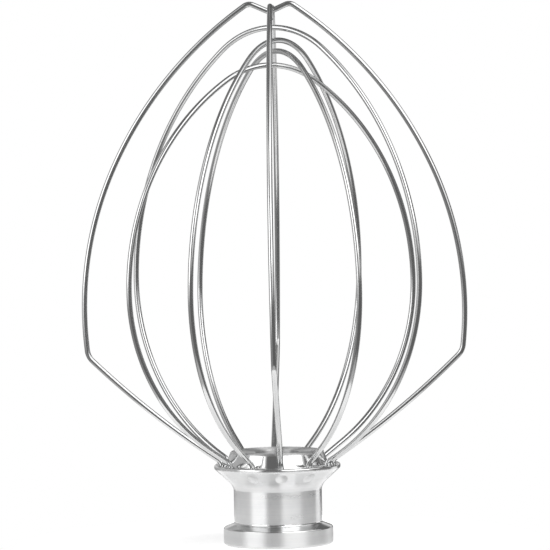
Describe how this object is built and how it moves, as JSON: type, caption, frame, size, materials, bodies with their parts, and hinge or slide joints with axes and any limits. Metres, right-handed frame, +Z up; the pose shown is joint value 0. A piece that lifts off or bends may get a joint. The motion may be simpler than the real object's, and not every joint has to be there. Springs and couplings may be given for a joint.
{
  "type": "stand mixer wire whip",
  "caption": "Balloon-shaped wire whip for a stand mixer: bent steel wire loops staked into a turned flared hub with a shaft bore and a side slot for the drive pin.",
  "frame": {"origin": "middle of the hub's base face, where the drive shaft enters", "axes": "+Z up along the bore from the base face to the crown of the loops, X along the outer loop that faces the camera"},
  "size_m": [0.113, 0.113, 0.1591],
  "materials": {
    "hub": "satin turned",
    "wire": "polished drawn wire"
  },
  "bodies": {
    "root": {"hub": "hub", "wire_outer_a": "wire", "wire_outer_b": "wire", "wire_inner_a": "wire", "wire_inner_b": "wire", "wire_inner_c": "wire", "wire_inner_d": "wire"}
  },
  "joints": []
}
